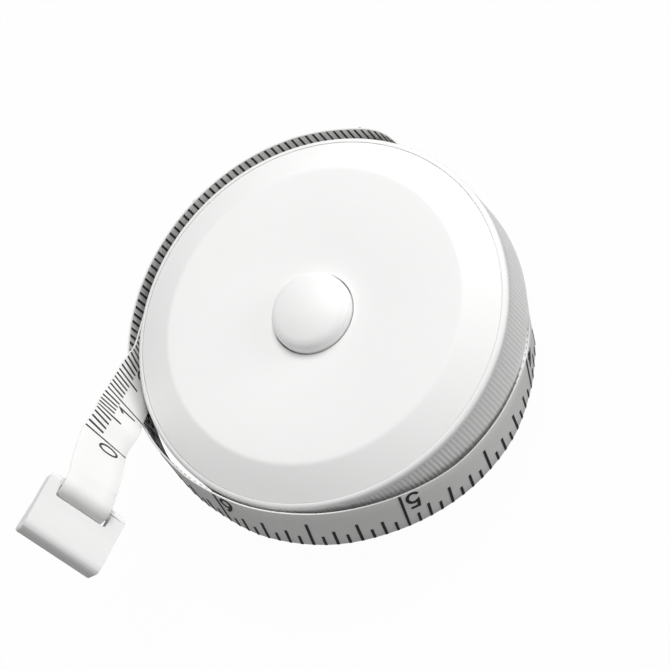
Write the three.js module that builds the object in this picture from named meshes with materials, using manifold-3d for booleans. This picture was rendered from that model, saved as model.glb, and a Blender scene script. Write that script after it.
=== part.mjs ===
// A round pocket tape measure with a push button, in millimetres, +Z up.
// The origin is on the axis of the case, in the plane of the rear face that it rests on.
// A reel inside carries the tape. A flat spiral spring winds the tape in, and a brake under
// the reel holds it until the button is pressed. Some tape is drawn out, goes once round the
// case in a loose turn, passes inside its own first layer and stands out with its pull tab.
import * as THREE from 'three';
import { mergeVertices } from 'three/addons/utils/BufferGeometryUtils.js';
import Module from 'manifold-3d';

const wasm = await Module();
wasm.setup();

// Case
const CASE_HEIGHT = 18;
const CASE_RADIUS = 25.75;
const CASE_WALL = 1.75;
const WALL_DEPTH = 10;
const SEAM_GAP = 0.15;
const SPIGOT_WALL = 0.8;
const SPIGOT_HEIGHT = 2.2;
const REAR_RIM_INSET = 0.45;
const REAR_RIM_EDGE = 0.4;
const REAR_HEEL = 0.6;
const RIB_COUNT = 152;
const RIB_DEPTH = 0.16;
const SHOULDER_RADIUS = 0.65;
const SHOULDER_FLAT = 0.2;
const WEB = 0.8;

// Face discs
const FLAT_RADIUS = 20.5;
const FACE_RADIUS = 24.9;
const FACE_SLOPE_DROP = 2.1;
const FACE_THICKNESS = 0.8;
const REAR_FACE_RADIUS = 17;
const REAR_LIP = 0.3;

// Clearances
const FIT = 0.2;
const RUN = 0.3;
const BUTTON_GAP = 0.25;

// Tape
const TAPE_WIDTH = 7;
const TAPE_THICKNESS = 0.35;
const TAPE_WOUND_LENGTH = 1250;
const TAPE_PLANE = 11;
const TAPE_STEP = 2.4;
const TAPE_JOIN = 0.6;
const TURN_GAP = 0.8;
const OUTER_TURN = 338;

// Slot in the case wall
const SLOT_ANGLE = 22;
const SLOT_WIDTH = 1.7;
const SLOT_LENGTH = 14;
const SLOT_MARGIN = 0.4;

// Reel
const DRUM_RADIUS = 13.4;
const DRUM_WALL = 1.2;
const FLANGE_RADIUS = 20.2;
const FLANGE = 0.6;
const REEL_WEB = 1;
const REEL_WEB_TOP = 13.5;
const RING_WALL = 1.2;
const FRONT_RING_END = 13.9;
const REAR_RING_END = 5.8;
const REEL_FOOT_GAP = 0.4;

// Button and brake
const BUTTON_RADIUS = 5.6;
const BUTTON_RIM = 0.7;
const BUTTON_CROWN = 1.2;
const BUTTON_SKIN = 1.2;
const BUTTON_TRAVEL = 1.3;
const BUTTON_COLLAR = 1.5;
const BUTTON_COLLAR_THICKNESS = 0.8;
const STEM_RADIUS = 3.3;
const STEM_BORE = 2.2;
const STEM_NECK = 2.75;
const STEM_LIP = 0.6;
const KEY_COUNT = 3;
const KEY_WIDTH = 1.6;
const BRAKE_RADIUS = 9;
const BRAKE_PLATE = 1.3;
const BRAKE_RING_INNER = 6;
const BRAKE_RING_OUTER = 8.2;
const BRAKE_RING_HEIGHT = 1;
const BRAKE_GROOVE = 0.5;
const COIL_RADIUS = 1.4;
const COIL_WIRE = 0.5;
const COIL_TURNS = 6;

// Mainspring and its arbor
const SPRING_WIDTH = 5;
const SPRING_THICKNESS = 0.3;
const SPRING_PITCH = 0.85;
const SPRING_BEND = 0.9;
const SPRING_FOOT = 0.5;
const ARBOR_RADIUS = 3.2;
const ARBOR_PIN_RADIUS = 1.9;
const ARBOR_STUB_RADIUS = 2.4;
const ARBOR_HEAD_ROOM = 0.3;
const ARBOR_CORE = 1;

// Pull tab
const TAB_WIDTH = 11.4;
const TAB_LENGTH = 8.6;
const TAB_END_THICKNESS = 2.8;
const TAB_BEND = 3.4;
const TAB_CORNER = 1.1;
const BAR_RADIUS = 0.8;
const TAB_SLOT = 1.1;
const TAB_SLOT_MARGIN = 0.45;
const TAB_HEADING = 205.6;
const TAB_PITCH = 12.1;
const TAB_ROLL = 47;
const TAB_SWING = 36;
const BAR_ANGLE = 186.75;
const BAR_STANDOFF = 10.82;
const BAR_RISE = 14.52;
const FOLD_LENGTH = 4;
const LOOP_GAP = 0.48;

// Route of the middle of the tape round the outside of the case: angle about the axis in
// degrees, distance from the case wall, depth below the front face and twist about the
// tape's own direction in degrees, upper edge outwards.
const TAPE_ROUTE = [
  [32, 1.75, 7.0, 0],
  [42, 2.05, 7.0, 0],
  [58, 2.1, 6.95, 0],
  [76, 2.1, 6.95, 0],
  [94, 2.1, 6.95, 0],
  [112, 2.1, 6.95, 0],
  [130, 2.15, 7.1, 0],
  [148, 2.2, 7.4, -2],
  [162, 1.95, 7.4, -5],
  [176, 1.35, 6.85, -7],
  [190, 1.05, 6.0, -9],
  [208, 1.25, 5.75, -13],
  [228, 1.45, 6.3, -14],
  [248, 1.4, 7.9, -8],
  [266, 1.15, 10.1, 0],
  [284, 0.55, 11.8, 6],
  [300, 0.02, 12.85, 11],
  [309, -0.58, 13.55, 19],
  [318, -1.92, 14.0, 31],
  [336, -2.75, 14.15, 41],
  [354, -3.0, 14.3, 43],
  [372, -2.9, 14.3, 44],
  [390, -2.2, 13.95, 41],
  [406, -0.85, 13.0, 29],
  [420, 0.25, 11.6, 16],
  [434, 0.8, 9.8, 7],
  [448, 1.0, 8.3, 2],
  [462, 1.1, 7.4, 0],
  [476, 1.15, 7.1, 0],
  [490, 1.05, 6.9, 0],
  [500, 0.95, 5.7, 1],
  [509, 0.95, 2.65, 9],
  [517.4, 1.93, -0.41, 22],
  [524.5, 3.1, -3.7, 25],
  [531.1, 4.7, -6.86, 28.5],
];

const SEGMENTS = RIB_COUNT / 2;
const FINE_SEGMENTS = 48;
const MERGE = 1e-4;
const OVERLAP = 0.4;
const UP = new THREE.Vector3(0, 0, 1);

// Shared heights and radii
const wallInner = CASE_RADIUS - CASE_WALL;
const lipInner = FACE_RADIUS + FIT;
const shoulderTop = FACE_SLOPE_DROP;
const ribStart = shoulderTop + SHOULDER_RADIUS + SHOULDER_FLAT;
const webOuter = FACE_THICKNESS + FIT;
const webInner = webOuter + WEB;
const rearFloor = webInner;
const seamHeight = CASE_HEIGHT - WALL_DEPTH;
const rearRim = CASE_RADIUS - REAR_RIM_INSET;
const rearRimHeight = seamHeight - REAR_RIM_EDGE;
const frontCeiling = CASE_HEIGHT - webInner;
const drumInner = DRUM_RADIUS - DRUM_WALL;
const tapeLow = TAPE_PLANE - TAPE_WIDTH / 2;
const tapeHigh = TAPE_PLANE + TAPE_WIDTH / 2;
const coilInner = DRUM_RADIUS + RUN;
const coilOuter = Math.sqrt(coilInner ** 2 + (TAPE_WOUND_LENGTH * TAPE_THICKNESS) / Math.PI);
const outerTurnRadius = coilOuter + RUN + TAPE_THICKNESS / 2;
const reelFoot = rearFloor + REEL_FOOT_GAP;
const reelWebBottom = REEL_WEB_TOP - REEL_WEB;
const collarTop = frontCeiling - RUN;
const collarRadius = BUTTON_RADIUS + BUTTON_COLLAR;
const buttonHole = BUTTON_RADIUS + BUTTON_GAP;
const brakeRingTop = reelWebBottom - RUN;
const brakeRingBottom = brakeRingTop - BRAKE_RING_HEIGHT;
const brakeTop = brakeRingBottom - FIT + BRAKE_GROOVE;
const brakeBottom = brakeTop - BRAKE_PLATE;
const stemShoulder = brakeTop + FIT;
const stemLipTop = brakeBottom - FIT;
const stemFoot = stemLipTop - STEM_LIP;
const springLow = rearFloor + SPRING_FOOT;
const springHigh = springLow + SPRING_WIDTH;
const arborTop = springHigh + ARBOR_HEAD_ROOM;
const buttonRimTop = CASE_HEIGHT + BUTTON_RIM;
const buttonCeiling = buttonRimTop + BUTTON_CROWN - BUTTON_SKIN;
const arborPinTop = stemFoot + BUTTON_TRAVEL;

function radians(degrees) {
  return THREE.MathUtils.degToRad(degrees);
}

function polar(radius, degrees, height) {
  const turn = radians(degrees);
  return new THREE.Vector3(radius * Math.cos(turn), radius * Math.sin(turn), height);
}

// Solids

// The same geometry with shared vertices merged, collapsed triangles left out and its
// faces pointing outwards.
function closed(geometry) {
  const bare = new THREE.BufferGeometry();
  bare.setAttribute('position', geometry.getAttribute('position'));
  bare.setIndex(geometry.getIndex());
  const merged = mergeVertices(bare, MERGE);
  const position = merged.getAttribute('position');
  const source = merged.getIndex().array;
  const kept = [];
  let volume = 0;
  const a = new THREE.Vector3();
  const b = new THREE.Vector3();
  const c = new THREE.Vector3();
  for (let i = 0; i < source.length; i += 3) {
    const [p, q, r] = [source[i], source[i + 1], source[i + 2]];
    if (p === q || q === r || r === p) continue;
    kept.push(p, q, r);
    a.fromBufferAttribute(position, p);
    b.fromBufferAttribute(position, q);
    c.fromBufferAttribute(position, r);
    volume += a.dot(b.cross(c));
  }
  merged.setIndex(volume < 0 ? kept.reverse() : kept);
  return merged;
}

function solid(geometry) {
  const body = closed(geometry);
  return new wasm.Manifold(new wasm.Mesh({
    numProp: 3,
    vertProperties: Float32Array.from(body.getAttribute('position').array),
    triVerts: Uint32Array.from(body.getIndex().array),
  }));
}

function geometryOf(body) {
  const mesh = body.getMesh();
  const geometry = new THREE.BufferGeometry();
  geometry.setAttribute('position', new THREE.BufferAttribute(mesh.vertProperties, 3));
  geometry.setIndex(new THREE.BufferAttribute(mesh.triVerts, 1));
  return geometry;
}

// A profile of [radius, height] points turned about the Z axis.
function turned(profile, segments = FINE_SEGMENTS) {
  const points = profile.map(([radius, height]) => new THREE.Vector2(radius, height));
  return closed(new THREE.LatheGeometry(points, segments).rotateX(Math.PI / 2));
}

function ring(inner, outer, low, high, segments = FINE_SEGMENTS) {
  return turned([[inner, low], [outer, low], [outer, high], [inner, high], [inner, low]], segments);
}

function block(length, width, low, high, centre, degrees = 0) {
  const box = new THREE.BoxGeometry(length, width, high - low);
  box.rotateZ(radians(degrees));
  return box.translate(centre.x, centre.y, (low + high) / 2);
}

// A flat strip along stations that each hold a point, the width direction and the face
// normal.
function strip(stations, width, thickness) {
  const corners = [];
  for (const { point, across, normal } of stations) {
    for (const [side, face] of [[-1, -1], [1, -1], [1, 1], [-1, 1]]) {
      const corner = point.clone();
      corner.addScaledVector(across, (side * width) / 2);
      corner.addScaledVector(normal, (face * thickness) / 2);
      corners.push(...corner.toArray());
    }
  }
  const index = [0, 1, 2, 0, 2, 3];
  const last = 4 * (stations.length - 1);
  index.push(last, last + 2, last + 1, last, last + 3, last + 2);
  for (let start = 0; start < last; start += 4) {
    for (let side = 0; side < 4; side += 1) {
      const near = start + side;
      const next = start + ((side + 1) % 4);
      index.push(near, near + 4, next, next, near + 4, next + 4);
    }
  }
  const geometry = new THREE.BufferGeometry();
  geometry.setAttribute('position', new THREE.Float32BufferAttribute(corners, 3));
  geometry.setIndex(index);
  return closed(geometry);
}

// Stations of an upright strip that follows points in the plane at one height.
function uprightStations(points) {
  return points.map((point, i) => {
    const before = points[Math.max(i - 1, 0)];
    const after = points[Math.min(i + 1, points.length - 1)];
    const along = after.clone().sub(before).normalize();
    return { point, across: UP.clone(), normal: along.cross(UP) };
  });
}

// Least gap of a strip to itself, between stations further apart along it than apart.
function leastGap(stations, width, thickness, apart) {
  const shares = [-0.5, -0.25, 0, 0.25, 0.5];
  const rows = stations.map(({ point, across }) => (
    shares.map((share) => point.clone().addScaledVector(across, share * width))));
  const lengths = [0];
  for (let i = 1; i < stations.length; i += 1) {
    lengths.push(lengths[i - 1] + stations[i].point.distanceTo(stations[i - 1].point));
  }
  let least = Infinity;
  for (let i = 0; i < rows.length; i += 1) {
    for (let j = i + 1; j < rows.length; j += 1) {
      if (lengths[j] - lengths[i] < apart) continue;
      for (const p of rows[i]) {
        for (const q of rows[j]) least = Math.min(least, p.distanceTo(q));
      }
    }
  }
  return least - thickness;
}

const object = new THREE.Group();

function add(name, geometry, color, roughness, metalness = 0) {
  const material = new THREE.MeshStandardMaterial({ color, roughness, metalness });
  const mesh = new THREE.Mesh(geometry, material);
  mesh.name = name;
  object.add(mesh);
  return mesh;
}

const WHITE = '#f4f4f2';
const PRINTED_WHITE = '#ecece8';
const NATURAL = '#dcdad2';
const RUBBER = '#2a2a2c';
const STEEL = '#a9adb2';

// Where the tape leaves the winding, and its way from there to the slot
const slotRadius = CASE_RADIUS - CASE_WALL / 2;
const slotRun = Math.sqrt(slotRadius ** 2 - outerTurnRadius ** 2);
const leaveAngle = SLOT_ANGLE - THREE.MathUtils.radToDeg(Math.atan2(slotRun, outerTurnRadius));
const leavePoint = polar(outerTurnRadius, leaveAngle, TAPE_PLANE);
const leaveHeading = leaveAngle + 90;
const leaveWay = polar(1, leaveHeading, 0);

function leaveAt(run) {
  return leavePoint.clone().addScaledVector(leaveWay, run);
}

// Case

// Outline of the front end of the front shell, as [radius, depth below the front face]: the web
// under the face disc, the lip round the disc and the shoulder, with a root inside the wall.
function shellEnd() {
  const hole = buttonHole;
  const slope = FACE_SLOPE_DROP / (FACE_RADIUS - FLAT_RADIUS);
  const root = wallInner + (CASE_WALL - RIB_DEPTH) / 2;
  const rootEnd = ribStart + 2 * OVERLAP;
  const points = [
    [hole, webOuter],
    [FLAT_RADIUS, webOuter],
    [lipInner, webOuter + slope * (lipInner - FLAT_RADIUS)],
    [lipInner, shoulderTop],
  ];
  const arcSteps = 4;
  const shoulderReach = CASE_RADIUS - lipInner;
  for (let i = 1; i <= arcSteps; i += 1) {
    const turn = ((Math.PI / 2) * i) / arcSteps;
    points.push([
      lipInner + shoulderReach * Math.sin(turn),
      shoulderTop + SHOULDER_RADIUS * (1 - Math.cos(turn)),
    ]);
  }
  points.push(
    [CASE_RADIUS, ribStart],
    [root, ribStart],
    [root, rootEnd + slope * OVERLAP],
    [wallInner - OVERLAP / 2, rootEnd],
    [FLAT_RADIUS, webInner],
    [hole, webInner],
    [hole, webOuter],
  );
  return points;
}

// Ribbed wall of the front shell between two heights.
function ribbedWall(low, high) {
  const outline = [];
  for (let i = 0; i < 2 * RIB_COUNT; i += 1) {
    const turn = (Math.PI * i) / RIB_COUNT;
    const radius = CASE_RADIUS - (i % 2) * RIB_DEPTH;
    outline.push(new THREE.Vector2(radius * Math.cos(turn), radius * Math.sin(turn)));
  }
  const bore = [];
  for (let i = 0; i < SEGMENTS; i += 1) {
    const turn = (2 * Math.PI * i) / SEGMENTS;
    bore.push(new THREE.Vector2(wallInner * Math.cos(turn), wallInner * Math.sin(turn)));
  }
  const shape = new THREE.Shape(outline);
  shape.holes.push(new THREE.Path(bore));
  const wall = new THREE.ExtrudeGeometry(shape, { depth: high - low, bevelEnabled: false });
  return wall.translate(0, 0, low);
}

function fromFront(depth) {
  return CASE_HEIGHT - depth;
}

function frontFaceDisc() {
  return turned([
    [buttonHole, fromFront(0)],
    [FLAT_RADIUS, fromFront(0)],
    [FACE_RADIUS, fromFront(FACE_SLOPE_DROP)],
    [FACE_RADIUS, fromFront(FACE_SLOPE_DROP + FACE_THICKNESS)],
    [FLAT_RADIUS, fromFront(FACE_THICKNESS)],
    [buttonHole, fromFront(FACE_THICKNESS)],
    [buttonHole, fromFront(0)],
  ], SEGMENTS);
}

// The opening that the tape runs through, across the wall along the tape's way.
function slotCut() {
  const low = tapeLow - SLOT_MARGIN;
  const high = tapeHigh + SLOT_MARGIN;
  return solid(block(SLOT_LENGTH, SLOT_WIDTH, low, high, leaveAt(slotRun), leaveHeading));
}

function frontShell() {
  const end = shellEnd().map(([radius, depth]) => [radius, fromFront(depth)]);
  let body = solid(turned(end, SEGMENTS));
  body = body.add(solid(ribbedWall(seamHeight + SEAM_GAP / 2, fromFront(ribStart))));
  const ringOuter = drumInner - RUN;
  const ringInner = ringOuter - RING_WALL;
  const ringTop = frontCeiling + WEB / 2;
  body = body.add(solid(ring(ringInner, ringOuter, FRONT_RING_END, ringTop)));
  const keyInner = BUTTON_RADIUS + RUN;
  const keyLength = ringInner + RING_WALL / 2 - keyInner;
  for (let i = 0; i < KEY_COUNT; i += 1) {
    const degrees = (360 * i) / KEY_COUNT;
    const centre = polar(keyInner + keyLength / 2, degrees, 0);
    body = body.add(solid(block(keyLength, KEY_WIDTH, FRONT_RING_END, ringTop, centre, degrees)));
  }
  return geometryOf(body.subtract(slotCut()));
}

// The rear shell is a bowl: its side slopes in at 45 degrees from the seam to the heel round
// the rear disc.
function rearShell() {
  const hole = ARBOR_STUB_RADIUS + FIT;
  const lip = REAR_FACE_RADIUS + FIT;
  const heelHeight = REAR_LIP + REAR_HEEL / 2;
  const heelRadius = rearRim - (rearRimHeight - heelHeight);
  const bowlWall = CASE_WALL * Math.SQRT2;
  const rimTop = seamHeight - SEAM_GAP / 2;
  const spigotOuter = wallInner - FIT;
  const spigotInner = spigotOuter - SPIGOT_WALL;
  const spigotTop = seamHeight + SPIGOT_HEIGHT;
  const bowlTop = rearRimHeight - (rearRim - bowlWall - spigotInner);
  const bowlFloor = rearRim - bowlWall - (rearRimHeight - webInner);
  let body = solid(turned([
    [hole, webOuter],
    [lip, webOuter],
    [lip, REAR_LIP],
    [heelRadius - REAR_HEEL, REAR_LIP],
    [heelRadius, heelHeight],
    [rearRim, rearRimHeight],
    [rearRim, rimTop],
    [spigotOuter, rimTop],
    [spigotOuter, spigotTop],
    [spigotInner, spigotTop],
    [spigotInner, bowlTop],
    [bowlFloor, webInner],
    [hole, webInner],
    [hole, webOuter],
  ], SEGMENTS));
  const ringInner = DRUM_RADIUS + RUN;
  body = body.add(solid(ring(ringInner, ringInner + RING_WALL, rearFloor - WEB / 2, REAR_RING_END)));
  return geometryOf(body.subtract(slotCut()));
}

function rearFaceDisc() {
  return turned([
    [0, 0],
    [REAR_FACE_RADIUS, 0],
    [REAR_FACE_RADIUS, FACE_THICKNESS],
    [0, FACE_THICKNESS],
  ], SEGMENTS);
}

add('front_shell', frontShell(), WHITE, 0.45);
add('rear_shell', rearShell(), WHITE, 0.45);
add('front_face_disc', frontFaceDisc(), WHITE, 0.4);
add('rear_face_disc', rearFaceDisc(), WHITE, 0.4);

// Reel, with a notch in its skirt for the outer end of the mainspring

const springInner = ARBOR_RADIUS + RUN + SPRING_THICKNESS / 2;
const springOuter = drumInner - RUN - SPRING_THICKNESS / 2;
const springTurns = Math.floor((2 * (springOuter - springInner)) / SPRING_PITCH) / 2;
const springTurn = springTurns * 2 * Math.PI;

function reel() {
  const flangeLow = tapeLow - RUN - FLANGE;
  const flangeHigh = tapeHigh + RUN + FLANGE;
  const hub = STEM_RADIUS + RUN;
  const body = solid(turned([
    [hub, reelWebBottom],
    [drumInner, reelWebBottom],
    [drumInner, reelFoot],
    [DRUM_RADIUS, reelFoot],
    [DRUM_RADIUS, flangeLow],
    [FLANGE_RADIUS, flangeLow],
    [FLANGE_RADIUS, flangeLow + FLANGE],
    [DRUM_RADIUS, flangeLow + FLANGE],
    [DRUM_RADIUS, flangeHigh - FLANGE],
    [FLANGE_RADIUS, flangeHigh - FLANGE],
    [FLANGE_RADIUS, flangeHigh],
    [drumInner, flangeHigh],
    [drumInner, REEL_WEB_TOP],
    [hub, REEL_WEB_TOP],
    [hub, reelWebBottom],
  ]));
  const notchWidth = SPRING_THICKNESS + 2 * RUN;
  const hook = springHook();
  const middle = hook[hook.length - 1];
  const degrees = THREE.MathUtils.radToDeg(Math.atan2(middle.y, middle.x));
  const centre = polar(drumInner + DRUM_WALL / 2, degrees, 0);
  const notch = block(2 * DRUM_WALL, notchWidth, reelFoot - OVERLAP, springHigh + RUN, centre, degrees);
  return geometryOf(body.subtract(solid(notch)));
}

// Mainspring: a tongue in the arbor's slit, the spiral and a hook in the reel's skirt

function springSpiral() {
  const steps = Math.round(springTurns * 24);
  const points = [];
  for (let i = 0; i <= steps; i += 1) {
    const turn = (springTurn * i) / steps;
    const radius = springInner + (SPRING_PITCH * turn) / (2 * Math.PI);
    points.push(new THREE.Vector3(radius * Math.cos(turn), radius * Math.sin(turn), 0));
  }
  return points;
}

const BEND_STEPS = 4;

// A quarter bend from the start or the end of the spiral to a radial line.
function springBend(radius, turn, way) {
  const points = [];
  for (let i = 0; i <= BEND_STEPS; i += 1) {
    const swing = ((Math.PI / 2) * i) / BEND_STEPS;
    const along = way * SPRING_BEND * Math.sin(swing);
    const out = radius + way * SPRING_BEND * (1 - Math.cos(swing));
    const sideways = new THREE.Vector3(-Math.sin(turn), Math.cos(turn), 0);
    const outwards = new THREE.Vector3(Math.cos(turn), Math.sin(turn), 0);
    points.push(outwards.multiplyScalar(out).addScaledVector(sideways, along));
  }
  return points;
}

function springHook() {
  const radius = springInner + SPRING_PITCH * springTurns;
  const bend = springBend(radius, springTurn, 1);
  const end = bend[bend.length - 1].clone();
  const outwards = new THREE.Vector3(Math.cos(springTurn), Math.sin(springTurn), 0);
  bend.push(end.addScaledVector(outwards, DRUM_RADIUS - RUN - end.dot(outwards)));
  return bend;
}

function springTongue() {
  const bend = springBend(springInner, 0, -1).reverse();
  const start = bend[0].clone();
  start.x = ARBOR_CORE + RUN;
  return [start, ...bend];
}

function mainspring() {
  const middle = (springLow + springHigh) / 2;
  const points = [...springTongue().slice(0, -1), ...springSpiral(), ...springHook().slice(1)];
  for (const point of points) point.z = middle;
  const stations = uprightStations(points);
  const gap = leastGap(stations, SPRING_WIDTH, SPRING_THICKNESS, 4 * SPRING_BEND);
  console.log(`mainspring: least gap to itself ${gap.toFixed(2)} mm`);
  return strip(stations, SPRING_WIDTH, SPRING_THICKNESS);
}

function springArbor() {
  const stubEnd = webOuter + FIT;
  const post = turned([
    [0, stubEnd],
    [ARBOR_STUB_RADIUS, stubEnd],
    [ARBOR_STUB_RADIUS, rearFloor + FIT],
    [ARBOR_RADIUS, rearFloor + FIT],
    [ARBOR_RADIUS, arborTop],
    [ARBOR_PIN_RADIUS, arborTop],
    [ARBOR_PIN_RADIUS, arborPinTop],
    [0, arborPinTop],
  ], FINE_SEGMENTS / 2);
  const tongue = springTongue()[0];
  const slitLength = ARBOR_RADIUS - ARBOR_CORE + OVERLAP;
  const slitWidth = SPRING_THICKNESS + 2 * RUN;
  const centre = new THREE.Vector3(ARBOR_CORE + slitLength / 2, tongue.y, 0);
  const slit = block(slitLength, slitWidth, springLow - RUN, arborTop + OVERLAP, centre);
  return geometryOf(solid(post).subtract(solid(slit)));
}

add('reel', reel(), NATURAL, 0.5);
add('mainspring', mainspring(), STEEL, 0.35, 0.9);
add('spring_arbor', springArbor(), NATURAL, 0.5);

// Button, its coil spring and the brake under the reel's web

function button() {
  const crownSteps = 6;
  const crown = [];
  const crownSphere = (BUTTON_RADIUS ** 2 + BUTTON_CROWN ** 2) / (2 * BUTTON_CROWN);
  const crownAngle = Math.asin(BUTTON_RADIUS / crownSphere);
  for (let i = 0; i <= crownSteps; i += 1) {
    const turn = crownAngle * (1 - i / crownSteps);
    const height = buttonRimTop + BUTTON_CROWN - crownSphere * (1 - Math.cos(turn));
    crown.push([crownSphere * Math.sin(turn), height]);
  }
  const collarBottom = collarTop - BUTTON_COLLAR_THICKNESS;
  let body = solid(turned([
    [0, buttonCeiling],
    [STEM_BORE, buttonCeiling],
    [STEM_BORE, stemFoot],
    [STEM_RADIUS - FIT / 2, stemFoot],
    [STEM_RADIUS - FIT / 2, stemLipTop],
    [STEM_NECK, stemLipTop],
    [STEM_NECK, stemShoulder],
    [STEM_RADIUS, stemShoulder],
    [STEM_RADIUS, collarBottom],
    [collarRadius, collarBottom],
    [collarRadius, collarTop],
    [BUTTON_RADIUS, collarTop],
    ...crown,
  ]));
  for (let i = 0; i < KEY_COUNT; i += 1) {
    const degrees = (360 * i) / KEY_COUNT;
    const length = 2 * BUTTON_COLLAR;
    const centre = polar(BUTTON_RADIUS + length / 2, degrees, 0);
    const low = collarBottom - OVERLAP;
    const high = collarTop + OVERLAP;
    body = body.subtract(solid(block(length, KEY_WIDTH + 2 * RUN, low, high, centre, degrees)));
  }
  return geometryOf(body);
}

function brakePlate() {
  const bore = STEM_NECK + FIT;
  return turned([
    [bore, brakeBottom],
    [BRAKE_RADIUS, brakeBottom],
    [BRAKE_RADIUS, brakeTop],
    [BRAKE_RING_OUTER + FIT, brakeTop],
    [BRAKE_RING_OUTER + FIT, brakeTop - BRAKE_GROOVE],
    [BRAKE_RING_INNER - FIT, brakeTop - BRAKE_GROOVE],
    [BRAKE_RING_INNER - FIT, brakeTop],
    [bore, brakeTop],
    [bore, brakeBottom],
  ]);
}

// Path of the coil spring's wire, from the arbor's pin up to the button's ceiling.
class CoilPath extends THREE.Curve {
  constructor(low, high) {
    super();
    this.low = low;
    this.high = high;
  }

  getPoint(share, target = new THREE.Vector3()) {
    const turn = 2 * Math.PI * COIL_TURNS * share;
    const height = this.low + (this.high - this.low) * share;
    return target.set(COIL_RADIUS * Math.cos(turn), COIL_RADIUS * Math.sin(turn), height);
  }
}

// Wire of five sides swept along a coil, with flat ends.
function coilWire(path, steps, sides) {
  const rows = [];
  const radius = COIL_WIRE / 2;
  for (let i = 0; i <= steps; i += 1) {
    const point = path.getPoint(i / steps);
    const outwards = new THREE.Vector3(point.x, point.y, 0).normalize();
    const along = path.getTangent(i / steps);
    const third = along.clone().cross(outwards).normalize();
    for (let side = 0; side < sides; side += 1) {
      const turn = (2 * Math.PI * side) / sides;
      const corner = point.clone().addScaledVector(outwards, radius * Math.cos(turn));
      rows.push(...corner.addScaledVector(third, radius * Math.sin(turn)).toArray());
    }
  }
  const index = [];
  const last = steps * sides;
  for (let side = 1; side < sides - 1; side += 1) {
    index.push(0, side + 1, side, last, last + side, last + side + 1);
  }
  for (let start = 0; start < last; start += sides) {
    for (let side = 0; side < sides; side += 1) {
      const near = start + side;
      const next = start + ((side + 1) % sides);
      index.push(near, next, near + sides, next, next + sides, near + sides);
    }
  }
  const geometry = new THREE.BufferGeometry();
  geometry.setAttribute('position', new THREE.Float32BufferAttribute(rows, 3));
  geometry.setIndex(index);
  return closed(geometry);
}

function buttonSpring() {
  const low = arborPinTop + RUN + COIL_WIRE / 2;
  const high = buttonCeiling - RUN - COIL_WIRE / 2;
  const gap = (high - low) / COIL_TURNS - COIL_WIRE;
  console.log(`button_spring: least gap to itself ${gap.toFixed(2)} mm`);
  return coilWire(new CoilPath(low, high), COIL_TURNS * 8, 5);
}

add('button', button(), WHITE, 0.35);
add('brake_plate', brakePlate(), NATURAL, 0.5);
add('brake_ring', ring(BRAKE_RING_INNER, BRAKE_RING_OUTER, brakeRingBottom, brakeRingTop), RUBBER, 0.8);
add('button_spring', buttonSpring(), STEEL, 0.3, 0.9);

// Tape on the reel: the inner layers as one core, and the outermost layer over it

function outerTurn() {
  const end = radians(leaveAngle) - TAPE_JOIN / outerTurnRadius;
  const start = end - radians(OUTER_TURN);
  const steps = 40;
  const points = [];
  for (let i = 0; i <= steps; i += 1) {
    const turn = start + ((end - start) * i) / steps;
    const x = outerTurnRadius * Math.cos(turn);
    points.push(new THREE.Vector3(x, outerTurnRadius * Math.sin(turn), TAPE_PLANE));
  }
  return strip(uprightStations(points), TAPE_WIDTH, TAPE_THICKNESS);
}

add('tape_coil', ring(coilInner, coilOuter, tapeLow, tapeHigh), PRINTED_WHITE, 0.5);
add('tape_outer_turn', outerTurn(), PRINTED_WHITE, 0.5);

// Tape outside the reel

// Frame of the tab: along it away from the tape, across it and out of its upper side,
// with its origin on the middle of the bar that the tape goes round.
const barCentre = polar(CASE_RADIUS + BAR_STANDOFF, BAR_ANGLE, CASE_HEIGHT + BAR_RISE);
const tabAlong = polar(Math.cos(radians(TAB_PITCH)), TAB_HEADING, Math.sin(radians(TAB_PITCH)));
const tabLevel = polar(1, TAB_HEADING + 90, 0);
const tabAcross = tabLevel.clone().applyAxisAngle(tabAlong, -radians(TAB_ROLL));
const tabFace = tabAlong.clone().cross(tabAcross);

// Frame of the tape's loop: the tab's, swung back about the bar.
const loopAlong = tabAlong.clone().applyAxisAngle(tabAcross, -radians(TAB_SWING));
const loopFace = loopAlong.clone().cross(tabAcross);
const loopRadius = BAR_RADIUS + LOOP_GAP + TAPE_THICKNESS / 2;

function loopPoint(along, out) {
  return barCentre.clone().addScaledVector(loopAlong, along).addScaledVector(loopFace, out);
}

// Middle line of the tape: out of the slot, round the case and up to the tab.
const runFromSlot = [0.5, 5, 10, slotRun, slotRun + 1.6].map((run) => leaveAt(run));
const runRound = TAPE_ROUTE.map(([angle, standoff, depth]) => (
  polar(CASE_RADIUS + standoff, angle, CASE_HEIGHT - depth)));
const layerShift = (TAPE_THICKNESS + TURN_GAP) / 2;
const runToTab = [loopPoint(-FOLD_LENGTH, loopRadius), loopPoint(-FOLD_LENGTH / 2, loopRadius)];
const runPoints = [...runFromSlot, ...runRound, ...runToTab, loopPoint(0, loopRadius)];
const runCurve = new THREE.CatmullRomCurve3(runPoints, false, 'centripetal');
runCurve.arcLengthDivisions = 2000;
const loopUpright = UP.clone().addScaledVector(loopAlong, -UP.dot(loopAlong)).normalize();
const loopSide = loopAlong.clone().cross(loopUpright);
const loopTwist = THREE.MathUtils.radToDeg(Math.atan2(-tabAcross.dot(loopSide), -tabAcross.dot(loopUpright)));
const runTwists = [
  ...runFromSlot.map(() => 0),
  ...TAPE_ROUTE.map(([, , , twist]) => twist),
  ...runToTab.map(() => loopTwist),
  loopTwist,
];
const twistRows = runTwists.map((twist) => new THREE.Vector3(twist, 0, 0));
const twistCurve = new THREE.CatmullRomCurve3(twistRows, false, 'catmullrom', 0.5);

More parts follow.
